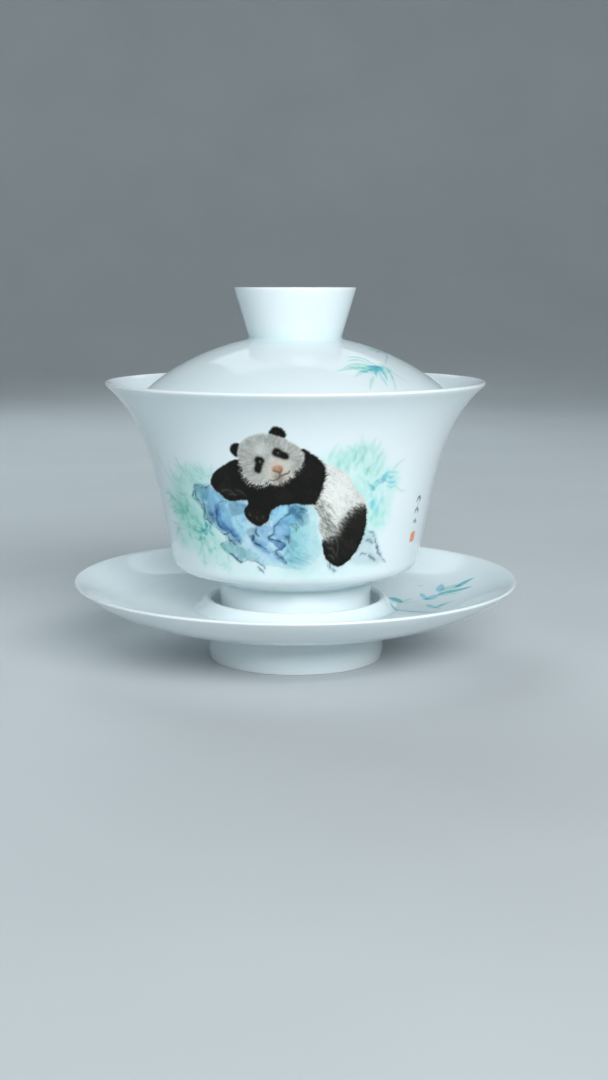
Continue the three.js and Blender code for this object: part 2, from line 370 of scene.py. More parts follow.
# Single pale twigs at the edges of the bamboo.
TWIGS = [[(-40.5, 57.5), (-39.6, 55.6), (-38.4, 53.6)], [(-38, 53.5), (-36, 49.5)],
         [(24.4, 53.6), (25.8, 55.4), (27.8, 56.4)], [(-31.5, 57), (-30.4, 55.4)],
         [(26, 50), (28.5, 48.4), (30.5, 48)], [(-41.5, 46), (-38.5, 46.8)]]


def grove(sheet):
    """Wet bamboo washes on both sides of the rock."""
    cloud(sheet, LEFT_GROVE, 1.2, 2.6, MINT, 0.85)
    cloud(sheet, LEFT_GROVE, 0.9, 2.8, JADE, 0.32)
    cloud(sheet, LEFT_HEART, 1.2, 2.4, JADE, 0.50)
    cloud(sheet, RIGHT_GROVE, 1.1, 2.4, MINT, 0.95)
    cloud(sheet, RIGHT_GROVE, 0.8, 2.4, JADE, 0.24)
    cloud(sheet, FOOT_MIST, 1.4, 1.4, MINT, 0.55)
    for fan in LEAF_FANS:
        leaf_fan(sheet, *fan)
    for path in TWIGS:
        sheet.wash(sheet.stroke(path, 0.5, 0.2) * 0.5, SAGE)


ROCK = [(-26, 49.8), (-27.7, 46.8), (-25.8, 45.4), (-24.8, 43.2), (-24.5, 41.8), (-22.4, 40), (-19.2, 38),
        (-17.9, 36.3), (-20.5, 35), (-19.5, 33.6), (-17.4, 32.5), (-15.4, 30.9), (-13.2, 31.6),
        (-10.6, 31.7), (-8.6, 30.4), (-5.5, 30.4), (-2.5, 29.8), (1.5, 29.6), (5, 31), (7, 34.5),
        (6, 38.5), (5.6, 42.5), (5, 46.4), (-6, 48), (-20, 50.6)]

# Facets of the rock: pigment, strength, edge softness and outline.
FACETS = [
    (AZURE, 0.40, 0.22, [(-25.6, 49.4), (-20.8, 50), (-17.5, 47.4), (-20.5, 46), (-25.4, 46.6)]),
    (SLATE, 0.28, 0.20, [(-25.4, 49.2), (-21.8, 49.4), (-22.2, 47.2), (-24.6, 46.4)]),
    (SLATE, 0.50, 0.22, [(-25, 45), (-22.4, 44.8), (-21.2, 41.6), (-22.6, 40.2), (-24.4, 42)]),
    (SKY, 0.60, 0.40, [(-24, 48.6), (-12.6, 47), (-12.2, 42), (-14, 36.4), (-19.6, 38.8), (-23.4, 43.6)]),
    (AZURE, 0.62, 0.25, [(-20.9, 45.4), (-17.2, 45), (-16.4, 41.6), (-14.2, 37.2), (-15.2, 36.2),
                         (-17.6, 38.4), (-20.6, 39.8)]),
    (COBALT, 0.50, 0.16, [(-20.8, 44.8), (-19.4, 44), (-18.6, 40.6), (-16.4, 38.6), (-18, 38.8),
                          (-20.5, 40.2)]),
    (COBALT, 0.40, 0.20, [(-19, 40.6), (-16.2, 39.4), (-14.4, 36.6), (-16.2, 37.6)]),
    (SLATE, 0.60, 0.22, [(-16.2, 46.4), (-12.6, 46.2), (-12, 43.8), (-14.2, 43.4), (-16.2, 42.8)]),
    (VIOLET, 0.60, 0.30, [(-23, 45.2), (-20.4, 46.4), (-19.8, 43), (-21.4, 40.8), (-22.8, 42.6)]),
    (SAGE, 0.58, 0.22, [(-20.2, 35), (-17.8, 36.2), (-14.8, 35), (-13, 33), (-15.2, 31.4), (-18.4, 33)]),
    (SAGE, 0.50, 0.30, [(-14.6, 34.8), (-11, 34), (-9.2, 31.6), (-13.6, 31.8)]),
    (SLATE, 0.35, 0.15, [(-17.6, 38), (-15.8, 37.4), (-14.8, 35.4), (-16.4, 35.8), (-17.8, 36.8)]),
    (SLATE, 0.45, 0.20, [(-12.2, 39.8), (-9.4, 40.2), (-10, 38.2), (-12, 37.8)]),
    (AZURE, 0.65, 0.28, [(-9.8, 40.4), (-6.6, 40.6), (-6.6, 36.4), (-9, 35.2), (-10.8, 37.4)]),
    (COBALT, 0.45, 0.18, [(-11.8, 38.2), (-10.4, 37.6), (-9.2, 35.8), (-6, 34), (-8.4, 34.2),
                          (-11, 36.4)]),
    (AZURE, 0.28, 0.30, [(-10.6, 36.4), (-6, 35.6), (-3, 31.4), (-6.6, 32), (-10, 34.4)]),
    (SKY, 0.85, 0.35, [(-5.8, 45.6), (0, 46.8), (3.6, 46), (3.8, 43.4), (-1, 42), (-5.6, 42)]),
    (SLATE, 0.85, 0.20, [(-1.4, 46), (2.4, 45.8), (2.9, 44.4), (0.4, 43.8), (-1.6, 44.2)]),
    (COBALT, 0.45, 0.14, [(-1.2, 45.4), (0.2, 45.2), (0, 44.2), (-1.2, 44)]),
    (SLATE, 0.70, 0.30, [(0.2, 43.9), (3, 43.8), (3.4, 41.6), (1.6, 40.8), (0.4, 42.2)]),
    (AZURE, 0.40, 0.25, [(-1.8, 43.8), (0.8, 43.6), (0.6, 41.8), (-0.6, 41.2), (-4.4, 41)]),
    (AZURE, 0.80, 0.25, [(-5.4, 41), (-3.2, 42.2), (-1, 41), (-1.6, 37.4), (-4.6, 37.6), (-5.6, 39)]),
    (COBALT, 0.85, 0.14, [(-6.8, 37.8), (-3.4, 37), (-2.4, 35.8), (-3.6, 34.6), (-5.2, 35.8)]),
    (COBALT, 0.30, 0.18, [(-5.2, 34), (-3.6, 33.6), (-2, 31.2), (-3.6, 31.4), (-5, 32.8)]),
    (SLATE, 0.30, 0.25, [(-2.6, 38.2), (-0.4, 38), (0.6, 36), (-2, 35.6)]),
    (SKY, 0.30, 0.50, [(-1, 41), (5.4, 42), (6.4, 36), (3, 31.6), (-2, 31), (-3, 35)]),
    (MINT, 0.60, 0.60, [(-1, 41), (5.4, 42), (7.4, 36), (4, 30.6), (-2, 31), (-1, 36)]),
]

# Broken contour lines of the rock: width and path.
CONTOURS = [
    (0.26, [(-21.4, 50.2), (-23, 49.7), (-25.9, 49.9), (-26.8, 48.6), (-27.6, 46.8), (-26.2, 46)]),
    (0.28, [(-26.4, 46.4), (-25.2, 45), (-24.2, 43.8), (-24.8, 42), (-23.6, 41), (-22.6, 40.1)]),
    (0.22, [(-25.6, 49.6), (-26.6, 47.2), (-25.4, 45.8)]),
    (0.24, [(-24.4, 46), (-23.9, 44.2)]),
    (0.20, [(-23, 43.4), (-22.2, 42.6), (-21.8, 43.4)]),
    (0.30, [(-20.8, 45.2), (-20.4, 43.4), (-20.7, 41.2), (-20.2, 39.9), (-18.6, 39.2), (-17.2, 38.4)]),
    (0.28, [(-20, 38.4), (-18.4, 38), (-17, 38.6), (-15.4, 37.2), (-14.2, 35.8)]),
    (0.34, [(-17.9, 38), (-17.8, 36.8), (-16.6, 36.2), (-15.8, 35.2)]),
    (0.26, [(-19.4, 46), (-17.8, 46.4), (-16.6, 46.8)]),
    (0.34, [(-18.4, 36.2), (-20.5, 35), (-19.6, 33.8), (-18.2, 33), (-16.6, 32.4), (-15.2, 31),
            (-13.6, 31.5), (-12, 31.7), (-10.4, 31.5), (-9, 30.6), (-8, 29.5)]),
    (0.26, [(-10.2, 30), (-9.2, 29.2), (-8.4, 28.6)]),
    (0.24, [(-16.2, 36.6), (-14.8, 36.2), (-14.6, 35.4)]),
    (0.42, [(-11.6, 38.1), (-10.6, 37.9), (-10.9, 36.8), (-9.4, 35.8), (-7.6, 34.7)]),
    (0.30, [(-9.6, 39.8), (-10, 38.8), (-9.2, 37.8)]),
    (0.36, [(-0.6, 45), (-1.6, 43.6), (-3, 42.8), (-4, 41.4), (-5.2, 40.6), (-5.4, 38.8), (-6.8, 37.8),
            (-5, 37), (-3.4, 36.7), (-2.4, 35.9)]),
    (0.40, [(-2.5, 35.8), (-3.6, 34.8), (-4.8, 34.2), (-4.4, 33), (-3, 32.4), (-2.2, 31)]),
    (0.30, [(0.6, 43.4), (1.6, 42.8), (2.2, 41.8)]),
    (0.26, [(-1.2, 41.4), (0.2, 40.4), (0.4, 39.4)]),
    (0.30, [(-2.8, 38.4), (-1.6, 38), (-1.4, 36.6)]),
    (0.26, [(1.4, 45.4), (2.6, 44.8), (3, 44.2)]),
    (0.22, [(9, 31.4), (9.9, 29.8), (11.2, 28.7)]),
    (0.25, [(19.2, 38.6), (21.4, 38), (22.6, 35.8), (23.6, 33.8), (25.4, 31.6), (27.4, 29.8)]),
    (0.28, [(22.8, 34.8), (23.6, 33.2), (25, 31.4)]),
    (0.24, [(19.4, 36.4), (20.6, 36), (21.8, 35.4)]),
    (0.26, [(20.6, 32.4), (22, 31.4), (23.6, 30.8)]),
    (0.22, [(17.8, 32.4), (18.8, 33), (19.8, 32.8)]),
]

# Dry brush streaks of the rock: turn angle, size, pigment and strength.
DRY_STREAKS = [(-0.8, 0.70, SLATE, 0.42), (0.7, 0.60, VIOLET, 0.5), (-0.3, 0.8, COBALT, 0.34)]
FACET_STRENGTH = 1.25
LINE_STRENGTH = 1.25
LOOSE_STRENGTH = 0.70
# Where small dashes thin the rock out to the right, and the grey slope under the hind leg.
DASHED = [(-3, 36), (3, 35), (4, 31), (-2, 30)]
SLOPE = [(18, 38), (21, 38), (23, 33), (26, 30), (20, 30), (15, 31), (17, 34)]
# The pale hollow between the rock and the hind leg.
HOLLOW = [(-1, 44), (6, 46), (9, 40), (9, 33), (4, 28.5), (-3, 30)]


def rock(sheet):
    """A blue rock: pale wash, facets, dry streaks and broken contours."""
    mass = sheet.shape(ROCK, 0.22, 0.30, 1.2)
    fade = smooth_step((sheet.v - 29.0 + (3.0 - sheet.u) * 0.12) / 5.0)
    mass = mass * (0.45 + 0.55 * fade) * (1.0 - 0.62 * smooth_step(sheet.u / 4.5))
    grain = 0.70 + 0.6 * sheet.noise(0.6, 3)
    sheet.wash(mass * grain * 0.85, SKY, 0.4)
    sheet.wash(mass * (0.5 + sheet.noise(2.0, 3)) * 0.18, SLATE, 0.4)
    drifts = [0.35 + 1.3 * sheet.noise(0.9, 4, 2.5, turn) for turn in (-0.9, -0.5, 0.7)]
    for k, (pigment, amount, soft, outline) in enumerate(FACETS):
        mask = sheet.shape(outline, soft, 0.5, 0.9) * mass
        rim = np.clip(mask - sheet.soft(mask, 0.40), 0.0, None)
        sheet.wash((mask * drifts[k % 3] + rim * 0.7) * amount * FACET_STRENGTH, pigment, 0.45)
    for turn, size, pigment, amount in DRY_STREAKS:
        patches = smooth_step((sheet.noise(2.2, 2) - 0.42) * 4.0)
        dry = smooth_step((sheet.noise(size, 4, 3.0, turn) - 0.50) * 3.2)
        sheet.wash(patches * dry * mass * amount, pigment, 0.4)
    dashes = sheet.hairs(sheet.shape(DASHED, 0.4) * mass, downhill(-0.45), 60, 2.6, 0.22, 0.15, 0.3)
    sheet.wash(dashes * 0.55, SLATE, 0.4)
    haze = sheet.shape(SLOPE, 0.5, 0.5)
    sheet.wash(haze * 0.38 * grain, SLATE, 0.3)
    hollow = sheet.shape(HOLLOW, 1.0)
    sheet.wash(hollow * 0.40 * grain, MINT, 0.3)
    sheet.wash(hollow * 0.14 * grain, SLATE, 0.3)
    line = np.zeros(sheet.u.shape)
    loose = np.zeros(sheet.u.shape)
    wander = [(sheet.noise(0.9, 4) - 0.5) * 0.8 for _ in range(2)]
    for width, path in CONTOURS:
        line = np.maximum(line, sheet.stroke(path, width * 0.85, 0.15, warp=wander))
        for _ in range(3):
            start = sheet.rng.integers(0, max(len(path) - 2, 1))
            run = np.array(path[start: start + 3]) + sheet.rng.normal(0.0, 0.32, 2)
            run = run + sheet.rng.normal(0.0, 0.14, run.shape)
            trace = sheet.stroke(run, width * 0.6, 0.10, warp=wander)
            loose = np.maximum(loose, trace * sheet.rng.uniform(0.3, 1.0))
    broken = np.clip(2.4 * sheet.noise(0.7, 3) - 0.55, 0.0, 1.0)
    sheet.wash(line * broken * LINE_STRENGTH, CONTOUR, 0.6)
    sheet.wash(loose * np.clip(1.3 - broken, 0.0, 1.0) * LOOSE_STRENGTH, CONTOUR, 0.6)
    sheet.wash(sheet.soft(line * broken + loose * 0.6, 0.32) * 1.1, SLATE, 0.4)


HEAD = [(-12.7, 57), (-12.5, 59.6), (-11.6, 61.4), (-10, 62.9), (-8, 63.7), (-6, 64), (-4.2, 63.8),
        (-2.4, 63), (-0.8, 61.9), (0.8, 60.7), (1.9, 59.3), (2.1, 57.4), (1.6, 55.6), (0.4, 53.9),
        (-1.2, 52.4), (-3, 51.3), (-5, 51.2), (-6.8, 50.9), (-8.6, 50.4), (-10.2, 50.9), (-11.6, 52),
        (-12.5, 54.2)]
LEFT_EAR = [(-14.2, 59.4), (-13.7, 60.8), (-12.7, 61.4), (-11.5, 61), (-11.3, 59.8), (-12, 58.5),
            (-13.2, 58.1)]
RIGHT_EAR = [(-5, 64), (-4.7, 65.1), (-3.8, 65.8), (-2.7, 65.4), (-1.9, 64.2), (-2, 63.2), (-3.2, 63)]
LEFT_PATCH = [(-8.8, 57.4), (-8.2, 58.2), (-7.2, 57.9), (-6.8, 57.1), (-7.3, 56.2), (-7.6, 55),
              (-8.1, 54.2), (-9, 54.6), (-9, 55.6), (-8.6, 56.5)]
RIGHT_PATCH = [(-4.7, 59.4), (-4.3, 60.2), (-3.5, 60.3), (-2.6, 59.6), (-1.6, 59), (-1.3, 58.2),
               (-2.1, 57.8), (-3.3, 58.2), (-4.4, 58.6)]
CHIN = [(-6.6, 55.4), (-5.6, 57.6), (-3.8, 58.2), (-1.6, 57.4), (-0.8, 55.4), (-1.2, 53), (-3.2, 51.5),
        (-5.4, 51.6), (-6.8, 53.2)]
ARM = [(-20.9, 50.8), (-20.3, 52.6), (-18.8, 54.2), (-16.8, 55.5), (-14.6, 56.8), (-12.4, 57.2), (-9, 55),
       (-7, 51.5), (-7, 48.4), (-9.5, 47.2), (-12.6, 47.2), (-15.6, 46.7), (-17.4, 47.2), (-18.6, 48.4),
       (-20, 49.2)]
PAW = [(-11.4, 49), (-11.4, 46.2), (-12.5, 44.6), (-12.3, 43), (-11.2, 41.7), (-9.8, 40.9), (-8.6, 40.7),
       (-7.4, 41.5), (-6.5, 42.3), (-6.2, 43.6), (-5.7, 44.8), (-4.6, 45.6), (-2.8, 46.2), (0, 46.6),
       (2.6, 46.4), (2, 49), (-4, 51.5)]
SHOULDER = [(-6, 49), (-3, 46.3), (0, 46.6), (2.6, 46.3), (4.4, 46.4), (5.6, 48), (6.4, 50.4), (6.9, 53),
            (6.7, 55.4), (5.4, 57.4), (3.6, 59), (1.8, 60.2), (-0.5, 59), (-4, 54)]
BACK = [(5, 57.2), (7.4, 56.3), (9.6, 55.4), (11.6, 54.2), (13.2, 52.6), (14.4, 50.6), (15.8, 48.8),
        (17.4, 47.4), (18.4, 45.2), (18.7, 42), (17.6, 39), (13, 37), (9.6, 37), (7.3, 37.8), (6.2, 39.2),
        (6, 41.2), (6.2, 42.8), (5.2, 44.8), (3.8, 46.4), (5.2, 50)]
DARK_LEG = [(8.6, 36.4), (10.3, 38), (11.8, 40), (12.8, 42), (13.8, 43.6), (15.4, 44.7), (17, 45),
            (22, 45), (24, 38), (18, 27), (10, 26), (3, 32), (4, 38)]
THIGH = [(8.6, 38.4), (9.8, 41.4), (10.8, 44.2), (12.4, 47), (15, 48.6), (17.2, 47.4), (18.2, 45),
         (18.7, 42), (18.6, 39.2), (18, 36.8), (17, 34.4), (15.6, 32.4), (13.9, 30.9), (12.2, 30.1),
         (10.8, 30.3), (9.6, 31), (8.3, 32.2), (7.6, 33.6), (7.3, 35.2), (7, 36.8), (7.6, 37.8),
         (9, 37.8)]
FLANK = [(4.2, 46.8), (5.6, 47.2), (7.6, 45), (9, 41.4), (10.4, 38), (7.2, 37.4), (5.6, 40.6), (5.4, 43)]
EYES = [(-7.6, 56.9), (-3.5, 59.1)]
NOSE_BRIDGE = [(-5.3, 55.4), (-5.2, 56.7), (-4.2, 57.3), (-3, 56.8), (-2.7, 55.2), (-4, 54.6)]
NOSE_TIP = [(-5.1, 54.9), (-4.5, 55.8), (-3.1, 56), (-2.6, 55.3), (-3.2, 54.3), (-4.4, 54.4)]

# Pale lines between the toes and round the sole.
TOES = [[(-18.4, 49), (-16.6, 49.5), (-15, 49)], [(-14.2, 49.8), (-12.8, 49.1), (-11.8, 48)],
        [(-16.6, 48.2), (-15.4, 48.5), (-14.2, 48.2)], [(-11.4, 43.9), (-11, 43)],
        [(-9.6, 43.2), (-9.3, 42.2)], [(-8, 43.4), (-7.6, 42.6)], [(8.2, 37.3), (9.4, 37), (10.1, 36)],
        [(8.4, 34.9), (9.8, 34.8), (10.6, 33.4)], [(8.8, 33.2), (9.8, 32.8), (10.4, 31.8)],
        [(8, 38), (9.6, 38.1), (11, 36.8), (11.4, 34.6), (11, 32.6)]]

# Lines of the nose and mouth: path, width and strength.
MOUTH = [
    ([(-4.9, 54.8), (-4, 54.5), (-3.2, 54.4), (-2.8, 55.2)], 0.36, 0.85),
    ([(-3.6, 54.5), (-3.3, 53.9), (-3.4, 53.3)], 0.36, 0.80),
    ([(-5.9, 52.5), (-4.9, 52.3), (-3.9, 52.7), (-3.2, 53.5)], 0.30, 0.75),
    ([(-3.5, 53.2), (-2.5, 53.8), (-1.5, 54.2), (-1.1, 54.9)], 0.36, 0.85),
]

HAIR = 0.12  # mm
FINE_HAIR = 0.11
NOWHERE = 1e-9  # keeps a place's chance of a hair above nothing


def edge_of(sheet, mask, width):
    """The band just inside a shape's edge."""
    return np.clip(mask - sheet.soft(mask, width), 0.0, 1.0) * (mask > 0.5)


def fringe(sheet, mask, band, flow, count, length, pigment, amount):
    """Separate fine hairs that start in the band inside a shape's edge and cross it."""
    start = edge_of(sheet, mask, band) ** 2 + NOWHERE
    sheet.comb(start, flow, count, length, FINE_HAIR, 0.28, 1.0, amount, pigment)


def glow(sheet, spot, size):
    """A round soft spot."""
    return np.exp(-((sheet.u - spot[0]) ** 2 + (sheet.v - spot[1]) ** 2) / (2.0 * size**2))


# Brown sheen on the dark fur: place, size and strength.
SHEEN = [((-17, 52.6), 1.6, 0.30), ((-17.6, 49.4), 1.0, 0.55), ((-14.8, 48.6), 1.0, 0.50),
         ((-10.4, 43.6), 0.9, 0.45), ((-8.2, 42.4), 0.8, 0.30), ((3.6, 55), 1.8, 0.25),
         ((-2.4, 48.6), 1.4, 0.30), ((4.4, 49), 1.2, 0.20), ((10, 35.6), 1.1, 0.60),
         ((10.6, 32.6), 1.0, 0.50), ((14.6, 35), 1.8, 0.40), ((16.6, 41), 1.2, 0.35)]


def cub(sheet):
    """A panda cub resting over the rock."""
    arm = sheet.shape(ARM, 0.09, 0.14, 0.5)
    paw = sheet.shape(PAW, 0.09, 0.14, 0.5)
    shoulder = sheet.shape(SHOULDER, 0.10, 0.16, 0.5)
    back = sheet.shape(BACK, 0.16, 0.18, 0.5)
    thigh = sheet.shape(THIGH, 0.14, 0.16, 0.5)
    shadow = sheet.soft(np.clip(arm + paw + shoulder + thigh, 0, 1), 0.7)
    below = np.roll(shadow, -int(0.5 * sheet.dots), axis=0)
    sheet.wash(below * 0.34, SLATE, 0.2)

    coat = downhill(-0.70, -0.30)
    strand = sheet.strands(-0.85)
    sheet.body(back, FUR)
    shine = 0.8 * np.exp(-((sheet.u - 10.0) ** 2 / 9.0 + (sheet.v - 49.0) ** 2 / 22.0))
    sheet.body(shine * back * 0.85, FUR_PALE)
    dusk = 1.0 - 0.85 * shine
    sheet.body(smooth_step(strand) * back * dusk * 0.34, FUR_SHADE)
    sheet.body(smooth_step(-strand) * back * 0.40, FUR_PALE)
    crown = edge_of(sheet, back, 0.8)
    sheet.body(crown * (0.7 + 0.5 * strand) * 0.55, FUR_SHADE)
    inner = sheet.shape(FLANK, 0.8, 0.4) * back
    sheet.body(inner * (0.75 + 0.6 * strand) * 0.55, FUR_SHADE)
    sheet.comb(inner + NOWHERE, downhill(-0.75, -0.3), 150, 1.7, HAIR, 0.2, back, 0.7, SOFT_SOOT)
    sheet.comb(back * dusk**2, coat, 300, 1.2, HAIR, 0.25, back, 0.40, FUR_SHADE)
    sheet.comb(back, coat, 420, 1.3, HAIR, 0.25, back, 0.45, FUR_PALE)
    fringe(sheet, back, 0.6, coat, 260, 0.9, FUR, 0.6)

    slow = sheet.soft(sheet.shape(DARK_LEG, 0.3, 0.5, 0.8), 1.45)
    strand = sheet.strands(-0.55, 0.17, 8.0)
    dark = smooth_step((slow - 0.52 + strand * 0.15) / 0.95 + 0.5) ** 1.7
    on_leg = smooth_step(thigh * 1.6 - 0.3)
    sheet.body(dark * on_leg * 0.98, SOOT)
    border = np.clip(1.0 - np.abs(slow - 0.45) * 3.2, 0.0, 1.0) * thigh
    for count, length, amount, pigment in ((150, 1.7, 0.45, SOOT), (130, 1.6, 0.34, FUR)):
        sheet.comb(border + NOWHERE, downhill(-0.45, -0.25), count, length, FINE_HAIR, 0.2, thigh, amount,
                   pigment)
    rump = thigh * smooth_step(slow * 3.0 - 1.2)
    fringe(sheet, rump, 0.5, downhill(-0.25), 190, 0.7, SOOT, 0.8)

    for mask, flow in ((shoulder, away_from(-6.0, 58.0)), (arm, downhill(-2.4)), (paw, downhill(-1.6))):
        sheet.body(mask, SOOT)
        fringe(sheet, mask, 0.4, flow, 170, 0.6, SOOT, 0.8)
    black = np.clip(arm + paw + shoulder + dark * on_leg, 0.0, 1.0)
    strand = sheet.strands(-0.95, 0.17, 5.0)
    for spot, size, amount in SHEEN:
        sheet.body(glow(sheet, spot, size) * (0.75 + 0.5 * strand) * black * amount * 1.2, UMBER)
    sheet.body(smooth_step(strand) * black * 0.22, UMBER)
    for path in TOES:
        sheet.body(sheet.soft(sheet.stroke(path, 0.42, 0.16), 0.10) * 0.42, FUR_SHADE)
    fringe(sheet, shoulder * (sheet.u > 4.0), 0.6, downhill(-0.35), 170, 1.0, SOOT, 0.8)

    for outline in (LEFT_EAR, RIGHT_EAR):
        ear = sheet.shape(outline, 0.13, 0.08, 0.4)
        sheet.body(ear, SOOT)
        fringe(sheet, ear, 0.3, away_from(*np.mean(outline, axis=0)), 60, 0.4, SOOT, 0.7)
    head(sheet)


# Modelling of the face: place, size and strength of its greys, then of its lights.
FACE_GREYS = [((-5.4, 62.9), 1.5, 0.62), ((-9.6, 61.6), 1.2, 0.40), ((-11.4, 58.8), 1.2, 0.55),
              ((0.2, 59), 1.3, 0.75), ((-1.8, 61.4), 1.2, 0.50), ((-11.4, 54.6), 1.5, 0.80),
              ((-9.4, 52.4), 1.3, 0.75), ((-6.3, 51.8), 1.0, 0.40), ((-6, 58.4), 0.6, 0.40),
              ((0.6, 55.9), 1.3, 0.85), ((-0.4, 53.4), 1.2, 0.75), ((-9.6, 57), 0.7, 0.35),
              ((-4.2, 61), 0.8, 0.25), ((-6.6, 56), 0.5, 0.30)]
FACE_LIGHTS = [((-7.4, 60.2), 1.1, 0.75), ((-9.6, 56), 0.5, 0.25), ((-5.4, 57.6), 0.5, 0.35),
               ((-0.8, 57), 0.6, 0.35), ((-3.2, 56.9), 0.4, 0.35), ((-8, 53.2), 0.6, 0.25)]


def head(sheet):
    """The cub's head, tilted to the left."""
    face = sheet.shape(HEAD, 0.15, 0.16, 0.5)
    middle = (-4.6, 56.4)
    outward = away_from(*middle)
    ray = sheet.rays(middle)
    sheet.body(face, FUR)
    sheet.body(face * 0.60, FUR_SHADE)
    for spot, size, amount in FACE_GREYS:
        sheet.body(glow(sheet, spot, size) * amount * face * (0.8 + 0.5 * ray), FUR_SHADE)
    for spot, size, amount in FACE_LIGHTS:
        sheet.body(glow(sheet, spot, size) * amount * face * (0.85 + 0.3 * ray), FUR_PALE)
    sheet.body(smooth_step(ray) * face * 0.30, FUR_SHADE)
    sheet.body(smooth_step(-ray) * face * 0.30, FUR_PALE)
    sheet.comb(face, outward, 420, 0.9, FINE_HAIR, 0.25, face, 0.34, FUR_SHADE)
    sheet.comb(face, outward, 480, 0.9, FINE_HAIR, 0.25, face, 0.42, FUR_PALE)
    fringe(sheet, face, 0.5, outward, 300, 0.7, FUR, 0.55)
    rim = edge_of(sheet, face, 0.6)
    lower = rim * smooth_step((58.5 - sheet.v) / 4.0) + NOWHERE
    sheet.body(rim * (0.6 + 0.5 * ray) * 0.70, FUR_SHADE)
    sheet.comb(lower**2, outward, 240, 1.1, HAIR, 0.20, 1.0, 0.80, FUR)
    sheet.comb(lower**2, outward, 200, 1.0, FINE_HAIR, 0.20, 1.0, 0.70, SOOT)

    chin = sheet.shape(CHIN, 0.50, 0.2)
    sheet.body(chin * (0.60 + 0.12 * ray), MUZZLE)
    sheet.body(glow(sheet, (-3.6, 52.9), 0.9) * 0.34 * face, UMBER)
    sheet.body(glow(sheet, (-4.9, 51.9), 0.6) * 0.30 * face, FUR_PALE)
    for outline in (LEFT_PATCH, RIGHT_PATCH):
        patch = sheet.shape(outline, 0.17, 0.08, 0.4)
        sheet.body(sheet.soft(patch, 0.4) * 0.45, UMBER)
        sheet.body(patch * 0.96, SOOT)
        fringe(sheet, patch, 0.3, away_from(*np.mean(outline, axis=0)), 50, 0.5, SOOT, 0.6)
    for eye in EYES:
        ring = np.hypot(sheet.u - eye[0], sheet.v - eye[1])
        sheet.body(smooth_step((0.42 - np.abs(ring - 0.30)) / 0.42) * (ring < 0.7) * 0.34, FUR_SHADE)
        sheet.body(smooth_step((0.28 - ring) / 0.16) * 0.95, SOOT)
        spark = np.hypot(sheet.u - eye[0] + 0.05, sheet.v - eye[1] - 0.12)
        sheet.body(smooth_step((0.22 - spark) / 0.2) * 0.90, FUR_PALE)

    sheet.body(sheet.shape(NOSE_BRIDGE, 0.38) * 0.62, NOSE_PALE)
    sheet.body(sheet.shape(NOSE_TIP, 0.20) * 0.92, NOSE)
    sheet.body(glow(sheet, (-3.9, 55.5), 0.25) * 0.5, NOSE_PALE)
    for path, width, amount in MOUTH:
        sheet.body(sheet.soft(sheet.stroke(path, width, 0.12), 0.05) * amount, NOSE_DARK)


SIGN_STEM = [(38.3, 46.6), (38.6, 43.6), (38.3, 40.6), (38.7, 38)]
# Leaves of the ink sprig: width and path.
SIGN_LEAVES = [
    (0.55, [(38.4, 46), (37.6, 45.2), (37.2, 44.2)]),
    (0.6, [(38.4, 45.8), (39.2, 45), (39.5, 44)]),
    (0.6, [(38.5, 43), (37.6, 42.2), (37.1, 41.2)]),
    (0.5, [(38.5, 42.6), (39.3, 41.8), (39.5, 40.8)]),
    (0.4, [(38.5, 39.8), (37.8, 39.2), (37.4, 38.5)]),
    (0.4, [(38.5, 39.6), (39.1, 39), (39.4, 38.3)]),
]
DAB = [(37.5, 36.2), (38.7, 36.4), (39.9, 36.3), (40.1, 35.1), (39.9, 33.8), (38.7, 33.7), (37.5, 33.8),
       (37.4, 35)]


def signature_sprig(sheet):
    """A slim ink sprig with one plain vermilion dab under it."""
    broken = np.clip(0.35 + 1.1 * sheet.noise(0.35, 2), 0, 1)
    sheet.wash(sheet.stroke(SIGN_STEM, 0.20, 0.08) * broken * 0.7, INK)
    for width, path in SIGN_LEAVES:
        sheet.wash(sheet.stroke(path, width, 0.10, leaf=True) * broken, INK)
    dab = sheet.shape(DAB, 0.14, 0.12)
    sheet.wash(dab * (0.75 + 0.4 * sheet.noise(0.4)) * 1.5, VERMILION, 0.6)


def paint_bowl():
    """The whole painting of the bowl's wall."""
    sheet = Sheet((-46.0, 25.5), (46.0, 67.5), dots_per_mm=12, seed=11)
    grove(sheet)
    rock(sheet)
    cub(sheet)
    signature_sprig(sheet)
    return sheet


# ---------------------------------------------------------------- sprigs on the lid and the saucer
# Sprig strokes: pigment, strength, width, leaf or line, and the path in plan millimetres.

